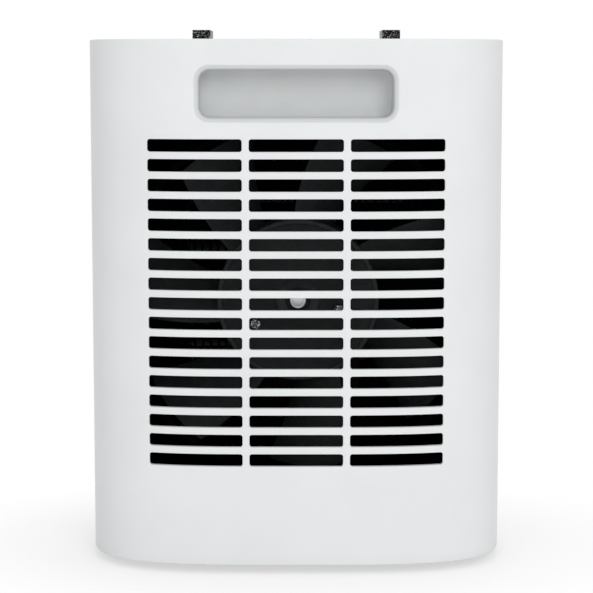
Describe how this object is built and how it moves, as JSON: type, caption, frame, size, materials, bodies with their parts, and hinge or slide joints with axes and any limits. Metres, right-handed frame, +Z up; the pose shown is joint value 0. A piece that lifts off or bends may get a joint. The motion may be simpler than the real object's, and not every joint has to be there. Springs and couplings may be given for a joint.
{
  "type": "upright fan heater",
  "caption": "Upright portable fan heater: slotted air inlet with a fan behind it, finger grip above, two bar dials on top, louvred warm-air outlet on the far side.",
  "frame": {"origin": "under the middle of the body, level with the underside of the feet", "axes": "+Z up, +X to the right of a viewer who faces the inlet grille, +Y from the inlet grille towards the warm-air outlet"},
  "size_m": [0.1984, 0.1404, 0.2539],
  "materials": {
    "shell": "satin moulded",
    "outlet_grille": "matt moulded",
    "base": "matt moulded",
    "feet": "matt",
    "pocket": "satin moulded",
    "dial": "fine texture",
    "switch_body": "moulded",
    "bright_steel": "turned",
    "bakelite": "moulded",
    "screws": "zinc plated",
    "lens": "clear moulded",
    "duct": "matt moulded",
    "bracket_steel": "zinc plated",
    "bearing_brass": "pressed",
    "laminations": "varnished",
    "coil": "wound and taped",
    "rotor": "turned",
    "impeller": "matt moulded",
    "fins": "rolled",
    "ceramic": "fired",
    "plunger": "moulded",
    "gland": "moulded"
  },
  "bodies": {
    "heater_body": {"inlet_shell": "shell", "outlet_shell": "shell", "outlet_grille": "outlet_grille", "control_panel": "shell", "base_plate": "base", "feet": "feet", "grip_pocket": "pocket", "rotary_switch": "switch_body", "thermostat": "bakelite", "dial_screws": "screws", "pilot_lens": "lens", "panel_screws": "screws", "base_screws": "screws", "fan_duct": "duct", "duct_screws": "screws", "motor_bracket": "bracket_steel", "bracket_screws": "screws", "front_bearing": "bearing_brass", "rear_bearing": "bearing_brass", "stator": "laminations", "stator_coil": "coil", "motor_screws": "screws", "heater_fins": "fins", "ceramic_bars": "ceramic", "element_frame": "duct", "frame_screws": "screws", "thermal_cutout": "ceramic", "tip_switch": "duct", "tip_spring": "bright_steel", "terminal_block": "switch_body", "cord_gland": "gland"},
    "fan": {"impeller": "impeller", "motor_shaft": "bright_steel", "rotor": "rotor", "shaft_cap": "bright_steel", "hub_screws": "screws"},
    "mode_dial": {"mode_knob": "dial", "switch_shaft": "bright_steel"},
    "thermostat_dial": {"thermostat_knob": "dial", "thermostat_shaft": "bright_steel"},
    "tip_over_plunger": {"tip_plunger": "plunger"}
  },
  "joints": [
    {"name": "fan_spin", "type": "hinge", "parent": "heater_body", "child": "fan", "pos_m": [0.0008, -0.045, 0.1272], "axis": [0, -1, 0], "continuous": true},
    {"name": "mode_turn", "type": "hinge", "parent": "heater_body", "child": "mode_dial", "pos_m": [0.0457, 0, 0.249], "axis": [0, 0, -1], "range_deg": [0, 135]},
    {"name": "thermostat_turn", "type": "hinge", "parent": "heater_body", "child": "thermostat_dial", "pos_m": [-0.0457, 0, 0.249], "axis": [0, 0, -1], "range_deg": [0, 270]},
    {"name": "plunger_slide", "type": "slide", "parent": "heater_body", "child": "tip_over_plunger", "axis": [0, 0, -1], "range_m": [0, 0.005], "deforming": ["tip_spring"]}
  ]
}
